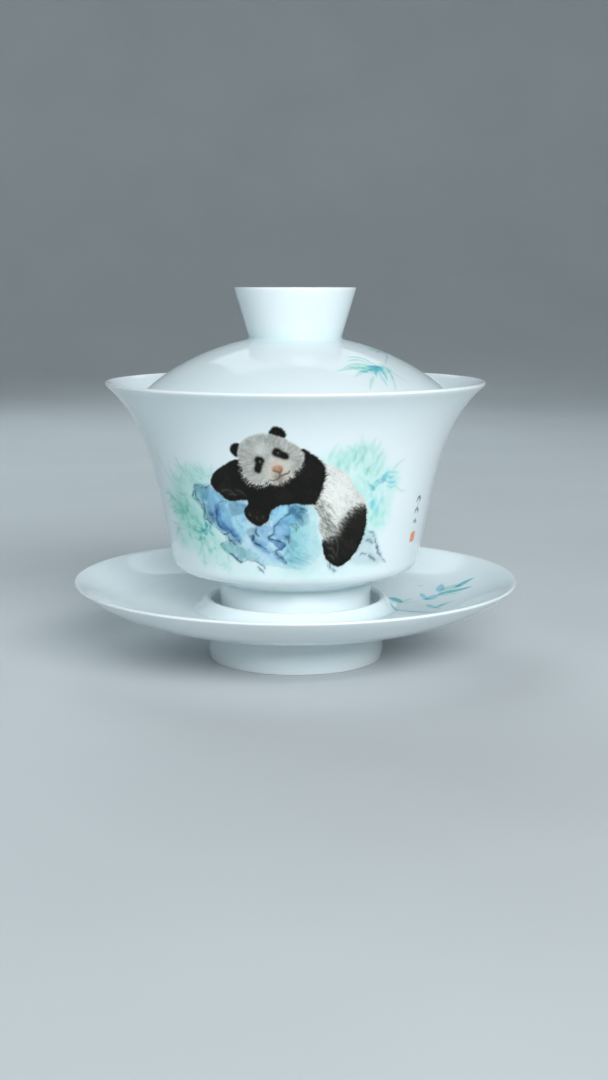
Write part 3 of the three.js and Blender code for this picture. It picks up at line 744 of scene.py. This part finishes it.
LID_SPRIG = [
    (MINT, 1.30, 3.8, True, [(24, -19), (19, -23.6), (13, -26)]),
    (JADE, 1.00, 1.2, True, [(17.5, -23.6), (14.2, -25.8), (10, -28.8)]),
    (JADE, 0.90, 1.1, True, [(18.2, -21.6), (14.8, -23.6), (11.6, -27)]),
    (TEAL, 0.60, 0.7, True, [(20.6, -20.4), (16.6, -18.8), (12.6, -20.8)]),
    (JADE, 0.80, 1.1, True, [(19, -20.8), (15.8, -20.6), (12.8, -23)]),
    (JADE, 0.60, 1.2, True, [(18, -24.4), (16, -27), (14.6, -29.4)]),
    (AQUA, 1.00, 2.6, True, [(22, -19.8), (19.4, -23), (16.4, -24.8)]),
    (LAKE, 1.20, 0.9, True, [(21.6, -20.6), (19.6, -21.4), (17.4, -22.8)]),
    (LAKE, 1.10, 0.8, True, [(21.4, -21.4), (19.4, -23.2), (17.8, -25)]),
    (AZURE, 0.80, 0.6, True, [(21, -20.8), (19.4, -22.2), (18, -23.6)]),
    (LAKE, 1.10, 0.8, True, [(18, -25.4), (17, -25.8), (15.8, -26.6)]),
    (LAKE, 0.80, 0.7, True, [(20.6, -22.4), (20, -24.6), (20.2, -26.4)]),
    (LAKE, 0.90, 0.7, True, [(21.2, -20.8), (22.4, -23.6), (22.8, -26.2)]),
    (JADE, 0.70, 0.8, True, [(19.4, -26.4), (18.8, -29.2), (18.2, -32.6)]),
    (AQUA, 0.80, 0.7, True, [(21, -24.2), (22, -26.6), (22.8, -28.4)]),
    (TEAL, 0.50, 0.28, False, [(21.6, -18.4), (23.6, -20.4), (24.4, -24), (24.9, -28.2)]),
    (TEAL, 0.50, 0.28, False, [(22.8, -19.6), (25.4, -20.8), (28, -21.4)]),
    (JADE, 0.60, 0.8, True, [(23, -19.8), (24, -22.4), (24, -24.6)]),
    (TEAL, 0.45, 0.40, False, [(23.2, -2), (23.6, -9), (22.8, -17)]),
    (JADE, 0.80, 2.6, True, [(22.8, -2), (20.6, -5.4), (18.6, -9.4)]),
    (TEAL, 0.60, 1.1, True, [(23.6, -4), (21.6, -6.4), (20.8, -9.8)]),
]
SAUCER_SPRIG = [
    (LAKE, 1.20, 1.3, True, [(25.6, -2), (26.2, -5), (27.6, -8)]),
    (LAKE, 0.85, 1.0, False, [(26.8, -6.4), (30, -10.6), (33.4, -14.6), (37.4, -17.6)]),
    (SLATE, 0.70, 0.6, False, [(28.6, -9.2), (32, -13.4), (36, -16.8)]),
    (TEAL, 1.10, 2.2, True, [(26, 9.8), (27.7, 5.8), (29, 1.8)]),
    (JADE, 0.90, 1.8, True, [(28, 1.2), (29.8, 3.8), (32.2, 6.2)]),
    (JADE, 0.60, 1.4, True, [(29.2, 0), (31.4, 1.6), (33.8, 2)]),
    (LAKE, 1.00, 1.3, True, [(34.6, 10.4), (35, 6), (36, 1.8)]),
    (LAKE, 1.00, 2.6, True, [(35.4, 1.6), (37.8, 4.8), (41, 6.6)]),
    (AQUA, 1.00, 2.0, True, [(34.6, 3.6), (36.4, 1.6), (39, 2.8)]),
    (TEAL, 0.70, 1.2, True, [(34.6, 17.2), (35.6, 17.8), (37, 17.4)]),
    (LAKE, 1.00, 2.4, True, [(39.8, 9), (40.3, 13.4), (41, 17.6)]),
    (TEAL, 1.00, 3.0, True, [(39.2, 6.6), (43.4, 7.8), (48.6, 6.6)]),
    (JADE, 1.00, 4.0, True, [(40.6, 10.6), (43.2, 12), (45.8, 11.2)]),
    (TEAL, 1.00, 2.4, True, [(44.2, 10.8), (46.8, 12.6), (49.6, 13.2)]),
    (JADE, 0.70, 1.8, True, [(39, 4.2), (42.4, 4.8), (45.6, 4.2)]),
    (LAKE, 0.95, 1.6, True, [(35.2, -4.2), (36.2, -8.8), (38.2, -12.6)]),
    (LAKE, 0.80, 1.6, True, [(36.6, -11.2), (38.6, -8), (41, -6.4)]),
    (JADE, 0.80, 1.6, True, [(37.6, -9.6), (40, -5.8), (42.8, -3.8)]),
]


def paint_sprig(low, high, strokes, seed, soft, strength):
    """A sheet with one loose sprig on it."""
    sheet = Sheet(low, high, dots_per_mm=10, seed=seed)
    for pigment, amount, width, is_leaf, path in strokes:
        mask = sheet.stroke(path, width, soft, leaf=is_leaf)
        drift = 0.55 + 0.9 * sheet.noise(0.7, 3)
        rim = np.clip(mask - sheet.soft(mask, 0.3), 0.0, None)
        sheet.wash((mask * drift + rim * 0.5) * amount * strength, pigment, 0.5)
        sheet.wash(sheet.soft(mask, 0.6) * amount * strength * 0.2, MINT, 0.2)
    return sheet


# ---------------------------------------------------------------- turned meshes

COARSE_COLUMNS = 144
COARSE_ROW = 1.3  # mm
ROW_TURN = math.radians(8.0)
BEND_WINDOW = 3.0  # mm along the outline that count towards how much it bends at a place
BEND_BLUR = 0.9
BARE_HEIGHT = 0.22  # mm of bare clay at the bottom of a foot ring
BARE_BLEND = 0.2
HALF_WALL = 0.8  # mm to about the middle of the bowl's wall, and of the saucer's dish
HALF_DOME = 1.0  # mm to about the middle of the lid's dome
UNPAINTED = np.array([1.0, 1.0, 1.0, 0.0])


def half_outline(node):
    """(radius, height) in mm along a node's outline in the half-plane y = 0, lower axis end first."""
    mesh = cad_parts[node].data
    keys, points, index = {}, [], []
    for vertex in mesh.vertices:
        key = tuple(round(c * 1e6) for c in vertex.co)
        if key not in keys:
            keys[key] = len(points)
            points.append(key)
        index.append(keys[key])
    on_plane = {i for i, p in enumerate(points) if abs(p[1]) < 2 and p[0] > -2}
    links = {i: set() for i in on_plane}
    for edge in mesh.edges:
        a, b = (index[k] for k in edge.vertices)
        if a != b and a in on_plane and b in on_plane:
            links[a].add(b)
            links[b].add(a)
    ends = sorted((i for i in links if len(links[i]) == 1), key=lambda i: points[i][2])
    chain, last = [ends[0]], None
    while len(chain) == 1 or chain[-1] != ends[1]:
        following = [i for i in links[chain[-1]] if i != last]
        last = chain[-1]
        chain.append(following[0])
    return np.array([(points[i][0], points[i][2]) for i in chain], float) * 1e-3


def rounded(outline, spacing=0.05):
    """A dense smooth line through the outline: long runs stay straight and short bevels round over."""
    chords = np.diff(outline, axis=0)
    lengths = np.hypot(*chords.T)
    pull = chords * lengths[:, None]
    tangents = np.vstack([[1.0, 0.0], pull[:-1] + pull[1:], [-1.0, 0.0]])
    tangents /= np.hypot(*tangents.T)[:, None]
    line = []
    for k, length in enumerate(lengths):
        t = np.linspace(0.0, 1.0, max(int(length / spacing), 2), endpoint=False)[:, None]
        a, b = outline[k], outline[k + 1]
        m, n = tangents[k] * length, tangents[k + 1] * length
        line.append((2 * t**3 - 3 * t**2 + 1) * a + (t**3 - 2 * t**2 + t) * m
                    + (3 * t**2 - 2 * t**3) * b + (t**3 - t**2) * n)
    line = np.vstack(line + [outline[-1:]])
    return np.clip(line, outline.min(0), outline.max(0))


def turning(line):
    """Signed turn at each point of a line, positive on outside corners."""
    d = np.diff(line, axis=0)
    heading = np.unwrap(np.arctan2(d[:, 1], d[:, 0]))
    return np.concatenate([[0.0], np.diff(heading), [0.0]])


def pick_rows(line, fine, fine_row):
    """Indices of the rows to keep: close together where painted and where the line turns."""
    turns = np.abs(turning(line))
    steps = np.concatenate([[0.0], np.hypot(*np.diff(line, axis=0).T)])
    rows, run, turn = [0], 0.0, 0.0
    for k in range(1, len(line) - 1):
        run += steps[k]
        turn += turns[k]
        if run >= (fine_row if fine[k] else COARSE_ROW) or turn >= ROW_TURN:
            rows.append(k)
            run = turn = 0.0
    return rows + [len(line) - 1]


def column_angles(sectors):
    """Azimuths of the fine columns, and where each coarse column falls among them."""
    step = TAU / COARSE_COLUMNS
    angles, places = [], []
    for k in range(COARSE_COLUMNS):
        places.append(len(angles))
        middle = math.degrees((k + 0.5) * step)
        middle = middle - 360.0 if middle > 180.0 else middle
        parts = 1
        for start, end, count in sectors:
            if start < middle < end:
                parts = max(parts, count)
        angles += [(k + j / parts) * step for j in range(parts)]
    return np.array(angles), np.array(places)


def turned(name, node, is_fine, fine_row, sectors, paint, foot, relief):
    """A porcelain piece turned from a node's outline, its painted part divided finely."""
    line = rounded(half_outline(node))
    fine = is_fine(line)
    rows = pick_rows(line, fine, fine_row)
    turns = turning(line)
    reach = np.concatenate([[0.0], np.cumsum(np.hypot(*np.diff(line, axis=0).T))])
    all_angles, places = column_angles(sectors)
    coarse_angles = all_angles[places]

    verts, rings = [], []
    bends, bares = [], []
    for k in rows:
        r, z = line[k]
        near = np.abs(reach - reach[k]) < BEND_WINDOW
        bend = (turns[near] * np.exp(-((reach[near] - reach[k]) ** 2) / BEND_BLUR)).sum()
        bare = smooth_step((foot + BARE_HEIGHT - z) / BARE_BLEND)
        on_axis = r < 1e-4
        if on_axis:
            angles = np.zeros(1)
        else:
            angles = all_angles if fine[k] else coarse_angles
        rings.append([len(verts) + j for j in range(len(angles))])
        verts += [(r * math.sin(a), -r * math.cos(a), z) for a in angles]
        bends += [bend] * len(angles)
        bares += [bare] * len(angles)
    verts = np.array(verts)

    faces = []
    for low, high in zip(rings[:-1], rings[1:]):
        if len(low) == len(high):
            faces += zip(low, low[1:] + low[:1], high[1:] + high[:1], high)
        elif len(low) == 1:
            faces += [[low[0], b, a] for a, b in zip(high, high[1:] + high[:1])]
        elif len(high) == 1:
            faces += [[a, b, high[0]] for a, b in zip(low, low[1:] + low[:1])]
        else:
            many, few = (low, high) if len(low) > len(high) else (high, low)
            for k in range(COARSE_COLUMNS):
                stop = places[k + 1] if k + 1 < COARSE_COLUMNS else len(many)
                run = [many[j % len(many)] for j in range(places[k], stop + 1)]
                pair = [few[k], few[(k + 1) % COARSE_COLUMNS]]
                faces.append(run + pair[::-1] if many is low else pair + run[::-1])

    pigment = paint(verts)
    mesh = bpy.data.meshes.new(name)
    mesh.from_pydata(verts * MM, [], faces)
    mesh.shade_smooth()
    mesh.update()
    normals = np.zeros(len(verts) * 3)
    mesh.vertices.foreach_get("normal", normals)
    raised = verts + normals.reshape(-1, 3) * (pigment[:, 3:4] * relief)
    mesh.vertices.foreach_set("co", (raised * MM).astype(np.float32).ravel())
    mesh.update()
    attribute = mesh.attributes.new("paint", "FLOAT_COLOR", "POINT")
    attribute.data.foreach_set("color", pigment.astype(np.float32).ravel())
    for label, values in (("bend", bends), ("bare", bares)):
        attribute = mesh.attributes.new(label, "FLOAT", "POINT")
        attribute.data.foreach_set("value", np.array(values, np.float32))
    piece = bpy.data.objects.new(name, mesh)
    bpy.context.scene.collection.objects.link(piece)
    return piece


def layers(sheet):
    """A sheet's colour and cover, as what they add to an unpainted place."""
    return np.dstack([sheet.colour() - 1.0, sheet.cover])


def wrapped(sheet, scale):
    """Reads a sheet wrapped round the wall: u is azimuth times scale and v is height."""
    colour = layers(sheet)

    def read(verts):
        u = np.arctan2(verts[:, 0], -verts[:, 1]) * scale
        outside = np.hypot(verts[:, 0], verts[:, 1]) > outer_limit(verts[:, 2])
        found = sheet.sample(colour, u, verts[:, 2]) * outside[:, None]
        return found + UNPAINTED

    return read


def read_off(line, across, at):
    """A line's other coordinate where coordinate number across is at the given values."""
    order = np.argsort(line[:, across])
    return np.interp(at, line[order, across], line[order, 1 - across])


def outer_limit(height):
    """Radius halfway through the bowl's wall at a height, in mm."""
    line = half_outline("bowl")
    top = int(np.argmax(line[:, 1]))
    outer = line[np.argmin(line[:top, 1]): top + 1]
    return read_off(outer, 1, height) - HALF_WALL


def flat_on(sheet, lowest):
    """Reads a sheet lying on a piece: u and v are x and y, above the lowest height at each radius."""
    colour = layers(sheet)

    def read(verts):
        on_top = verts[:, 2] > lowest(np.hypot(verts[:, 0], verts[:, 1]))
        found = sheet.sample(colour, verts[:, 0], verts[:, 1]) * on_top[:, None]
        return found + UNPAINTED

    return read


# ---------------------------------------------------------------- node materials


class Nodes:
    """Builds a node tree in a few calls."""

    def __init__(self, name):
        self.material = bpy.data.materials.new(name)
        self.material.use_nodes = True
        self.tree = self.material.node_tree
        self.tree.nodes.clear()

    def add(self, kind, **values):
        """A node, its properties and inputs set by name, with _ for each space."""
        node = self.tree.nodes.new(kind)
        for key, value in values.items():
            if hasattr(node, key):
                setattr(node, key, value)
            else:
                socket = node.inputs[key.replace("_", " ")]
                self.put(socket, value)
        return node

    def put(self, socket, value):
        """Links a socket to another one, or sets its value."""
        if isinstance(value, bpy.types.NodeSocket):
            self.tree.links.new(value, socket)
        else:
            socket.default_value = value

    def math(self, operation, a, b=0.0, clamp=False):
        """The result of a math node on two values."""
        node = self.add("ShaderNodeMath", operation=operation, use_clamp=clamp)
        for k, value in enumerate((a, b)):
            self.put(node.inputs[k], value)
        return node.outputs[0]

    def mix(self, factor, a, b, blend="MIX"):
        """Mixes two colours, which are inputs 6 and 7 and output 2 of a mix node."""
        node = self.add("ShaderNodeMix", data_type="RGBA", blend_type=blend)
        for k, value in ((0, factor), (6, a), (7, b)):
            self.put(node.inputs[k], value)
        return node.outputs[2]

    def noise(self, vector, scale, detail=3.0, rough=0.5):
        """Noise read at a place, with scale features per metre."""
        node = self.add("ShaderNodeTexNoise", Vector=vector, Scale=scale, Detail=detail, Roughness=rough)
        return node.outputs["Fac"]

    def spread(self, value, low, high, to_low=0.0, to_high=1.0):
        """Carries a range of values over to another range."""
        node = self.add("ShaderNodeMapRange", Value=value, From_Min=low, From_Max=high, To_Min=to_low,
                        To_Max=to_high)
        return node.outputs["Result"]

    def shaded(self, **values):
        """Ends the tree with the main shader, and gives the material."""
        shader = self.add("ShaderNodeBsdfPrincipled", **values)
        output = self.add("ShaderNodeOutputMaterial")
        self.tree.links.new(shader.outputs[0], output.inputs["Surface"])
        return self.material


GLAZE = (0.800, 0.862, 0.885, 1.0)
GLAZE_COOL = (0.745, 0.838, 0.868, 1.0)
GLAZE_POOL = (0.640, 0.790, 0.815, 1.0)
GLAZE_THIN = (0.860, 0.885, 0.880, 1.0)
GLAZE_IOR = 1.52
BISCUIT = (0.720, 0.700, 0.655, 1.0)
CLAY_SHADE = (0.56, 0.53, 0.48, 1.0)
SPECK = (0.420, 0.380, 0.320, 1.0)
WHITE = (1.0, 1.0, 1.0, 1.0)
PAPER = (0.60, 0.62, 0.64, 1.0)
PAPER_LIGHT = (0.64, 0.66, 0.68, 1.0)


def porcelain(name):
    """Glossy bluish white glaze with the painting under it, and bare clay where the foot stands."""
    n = Nodes(name)
    place = n.add("ShaderNodeTexCoord").outputs["Object"]
    drift = n.noise(place, 28.0, 3.0)
    colour = n.mix(n.spread(drift, 0.35, 0.70), GLAZE, GLAZE_COOL)
    bend = n.add("ShaderNodeAttribute", attribute_name="bend").outputs["Fac"]
    pool = n.math("MULTIPLY", bend, -0.55, clamp=True)
    thin = n.math("MULTIPLY", bend, 0.28, clamp=True)
    colour = n.mix(pool, colour, GLAZE_POOL)
    colour = n.mix(thin, colour, GLAZE_THIN)
    haze = n.noise(place, 900.0, 2.0)
    colour = n.mix(n.spread(haze, 0.3, 0.7, 0.0, 0.10), colour, GLAZE_COOL)
    dots = n.add("ShaderNodeTexVoronoi", feature="F1", Vector=place, Scale=130.0)
    size = n.noise(place, 60.0, 1.0)
    reach = n.spread(size, 0.55, 0.75, 0.0, 0.060)
    dot = n.math("LESS_THAN", dots.outputs["Distance"], reach)
    colour = n.mix(n.math("MULTIPLY", dot, 0.30), colour, SPECK)

    paint = n.add("ShaderNodeAttribute", attribute_name="paint")
    grains = n.noise(place, 2600.0, 3.0, 0.6)
    grain = n.spread(grains, 0.25, 0.75, 0.90, 1.08)
    cover = paint.outputs["Alpha"]
    grey = n.add("ShaderNodeCombineColor", Red=grain, Green=grain, Blue=grain).outputs[0]
    lively = n.mix(cover, WHITE, grey)
    painted = n.mix(1.0, paint.outputs["Color"], lively, "MULTIPLY")
    colour = n.mix(1.0, colour, painted, "MULTIPLY")

    bare = n.add("ShaderNodeAttribute", attribute_name="bare").outputs["Fac"]
    ragged = n.math("ADD", bare, n.spread(n.noise(place, 420.0, 2.0), 0.0, 1.0, -0.22, 0.22))
    bare = n.spread(ragged, 0.45, 0.60)
    grit = n.noise(place, 3800.0, 3.0, 0.7)
    clay = n.mix(n.spread(grit, 0.35, 0.68, 0.0, 0.55), BISCUIT, CLAY_SHADE)
    colour = n.mix(bare, colour, clay)

    worn = n.noise(place, 55.0, 4.0, 0.6)
    rough = n.spread(worn, 0.3, 0.75, 0.075, 0.135)
    rough = n.math("ADD", rough, n.math("MULTIPLY", cover, 0.16))
    rough = n.math("ADD", rough, n.math("MULTIPLY", bare, 0.60), clamp=True)

    ripple = n.noise(place, 75.0, 1.0)
    peel = n.noise(place, 520.0, 1.0)
    height = n.math("ADD", n.math("MULTIPLY", ripple, 0.45), n.math("MULTIPLY", peel, 0.05))
    height = n.math("ADD", height, n.math("MULTIPLY", n.math("MULTIPLY", grit, bare), 0.5))
    bump = n.add("ShaderNodeBump", Strength=0.35, Distance=0.00012, Height=height)

    gloss = n.math("SUBTRACT", 0.5, n.math("MULTIPLY", cover, 0.36))
    return n.shaded(Base_Color=colour, Roughness=rough, Normal=bump.outputs["Normal"], IOR=GLAZE_IOR,
                    Specular_IOR_Level=gloss, Subsurface_Weight=0.12, Subsurface_Radius=(1.0, 1.0, 1.0),
                    Subsurface_Scale=0.0012)


def floor_material():
    """Pale matte studio paper."""
    n = Nodes("studio_paper")
    place = n.add("ShaderNodeTexCoord").outputs["Object"]
    colour = n.mix(n.spread(n.noise(place, 9.0, 4.0), 0.3, 0.7), PAPER, PAPER_LIGHT)
    return n.shaded(Base_Color=colour, Roughness=0.85, Specular_IOR_Level=0.15)


# ---------------------------------------------------------------- the three pieces

WRAP = 36.0  # millimetres on the sheet per radian of azimuth round the wall

bowl_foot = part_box("bowl")[0].z / MM
saucer_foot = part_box("saucer")[0].z / MM
NO_FOOT = -100.0


def fine_between(radii, heights, before_rim=False):
    """A test for the points of an outline on one side of its widest point, within limits in mm."""

    def is_fine(line):
        past_rim = np.arange(len(line)) - int(np.argmax(line[:, 0]))
        side = past_rim < 0 if before_rim else past_rim > 0
        r, z = line.T
        return side & (r > radii[0]) & (r < radii[1]) & (z > heights[0]) & (z < heights[1])

    return is_fine


def lid_top(radius):
    """Height halfway through the lid's dome at a radius, in mm."""
    line = half_outline("lid")
    inner = line[: int(np.argmax(line[:, 0]))]
    return read_off(inner, 0, radius) + HALF_DOME


def saucer_top(radius):
    """Height halfway through the saucer's dish at a radius, in mm."""
    line = half_outline("saucer")
    under = line[np.argmin(line[:, 1]): int(np.argmax(line[:, 0]))]
    return read_off(under, 0, radius) + HALF_WALL


bowl_sheet = paint_bowl()
lid_sheet = paint_sprig((6.0, -36.0), (32.0, 4.0), LID_SPRIG, 5, 0.18, 0.85)
saucer_sheet = paint_sprig((23.0, -20.0), (53.0, 20.0), SAUCER_SPRIG, 6, 0.24, 0.95)

# For each node: the part divided finely and its row height, the fine sectors of azimuth in degrees with
# their columns per coarse column, the painting, the height of the bare foot, and the enamel's thickness.
PIECES = {
    "bowl": (fine_between((24.0, 60.0), (27.0, 66.6), before_rim=True), 0.25,
             [(-72.5, 72.5, 4), (-42.5, 32.5, 8)], wrapped(bowl_sheet, WRAP), bowl_foot, 0.03),
    "lid": (fine_between((17.5, 39.0), (0.0, 100.0)), 0.30,
            [(12.5, 95.0, 5)], flat_on(lid_sheet, lid_top), NO_FOOT, 0.02),
    "saucer": (fine_between((24.6, 52.0), (0.0, 100.0)), 0.30,
               [(57.5, 115.0, 6)], flat_on(saucer_sheet, saucer_top), saucer_foot, 0.02),
}
for node, settings in PIECES.items():
    piece = turned(node + "_porcelain", node, *settings)
    piece.data.materials.append(porcelain(node + "_glaze"))
    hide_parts(node)
    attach(piece, node)

# ---------------------------------------------------------------- studio

SWEEP = [(0.0, 0.0), (0.30, 0.0), (0.62, 0.0), (0.90, 0.0), (1.10, 0.03), (1.28, 0.12), (1.40, 0.26),
         (1.47, 0.45), (1.50, 0.70), (1.50, 1.10), (1.50, 1.80)]
SWEEP_COLUMNS = 96


def studio_sweep():
    """A round floor whose edge curves up into a wall on every side."""
    line = curve(SWEEP, steps=4)
    line[:, 1] = np.maximum(line[:, 1], 0.0)
    verts = [(0.0, 0.0, 0.0)]
    for r, z in line[1:]:
        verts += [(r * math.cos(TAU * k / SWEEP_COLUMNS), r * math.sin(TAU * k / SWEEP_COLUMNS), z)
                  for k in range(SWEEP_COLUMNS)]
    faces = [(0, 1 + k, 1 + (k + 1) % SWEEP_COLUMNS) for k in range(SWEEP_COLUMNS)]
    for ring in range(len(line) - 2):
        base = 1 + ring * SWEEP_COLUMNS
        for k in range(SWEEP_COLUMNS):
            a, b = base + k, base + (k + 1) % SWEEP_COLUMNS
            faces.append((a, a + SWEEP_COLUMNS, b + SWEEP_COLUMNS, b))
    mesh = bpy.data.meshes.new("studio_sweep")
    mesh.from_pydata(verts, [], faces)
    mesh.shade_smooth()
    sweep = bpy.data.objects.new("studio_sweep", mesh)
    sweep.data.materials.append(floor_material())
    bpy.context.scene.collection.objects.link(sweep)


LIT_PLACE = (0.0, 0.0, 0.05)  # what every light faces


def area_light(name, azimuth, elevation, distance, size, watts, colour, beam=180.0, mirrored=True):
    """A soft rectangular light that the camera can't see, and the glaze mirrors if mirrored is set.

    It faces the pieces from an azimuth and an elevation in degrees, where azimuth 0 is in front.
    """
    light = bpy.data.lights.new(name, "AREA")
    light.shape = "RECTANGLE"
    light.size, light.size_y = size
    light.energy = watts
    light.color = colour
    light.spread = math.radians(beam)
    lamp = bpy.data.objects.new(name, light)
    a, e = math.radians(azimuth), math.radians(elevation)
    away = Vector((math.sin(a) * math.cos(e), -math.cos(a) * math.cos(e), math.sin(e)))
    lamp.location = Vector(LIT_PLACE) + away * distance
    lamp.rotation_euler = away.to_track_quat("Z", "Y").to_euler()
    lamp.visible_camera = False
    lamp.visible_glossy = mirrored
    bpy.context.scene.collection.objects.link(lamp)


studio_sweep()
area_light("key", 17.0, 26.0, 1.10, (0.90, 0.36), 5.3, (0.95, 0.99, 1.0), beam=110.0)
area_light("fill", -60.0, 22.0, 1.00, (0.60, 0.40), 0.9, (0.80, 0.95, 1.0))
area_light("top", 180.0, 46.0, 1.00, (0.62, 0.50), 0.9, (0.85, 0.97, 1.0))
area_light("back", 200.0, 28.0, 1.10, (0.90, 0.60), 1.9, (0.85, 0.97, 1.0), beam=110.0, mirrored=False)

AIR_COLOUR = (0.55, 0.82, 0.95, 1.0)
AIR_STRENGTH = 0.13
world = bpy.data.worlds.new("studio_air")
world.use_nodes = True
air = world.node_tree.nodes["Background"]
air.inputs["Color"].default_value = AIR_COLOUR
air.inputs["Strength"].default_value = AIR_STRENGTH
bpy.context.scene.world = world
bpy.context.scene.view_settings.view_transform = "Standard"

LENS_MM = 50.63
SENSOR_MM = 36.0
CAMERA_PLACE = (0.00227, -0.40198, 0.09890)
CAMERA_DIP = 9.53  # degrees below level
camera_data = bpy.data.cameras.new("camera")
camera_data.lens = LENS_MM
camera_data.sensor_width = SENSOR_MM
camera = bpy.data.objects.new("camera", camera_data)
camera.location = CAMERA_PLACE
camera.rotation_euler = (math.radians(90.0 - CAMERA_DIP), 0.0, 0.0)
camera_data.clip_start = 0.01
bpy.context.scene.collection.objects.link(camera)
bpy.context.scene.camera = camera
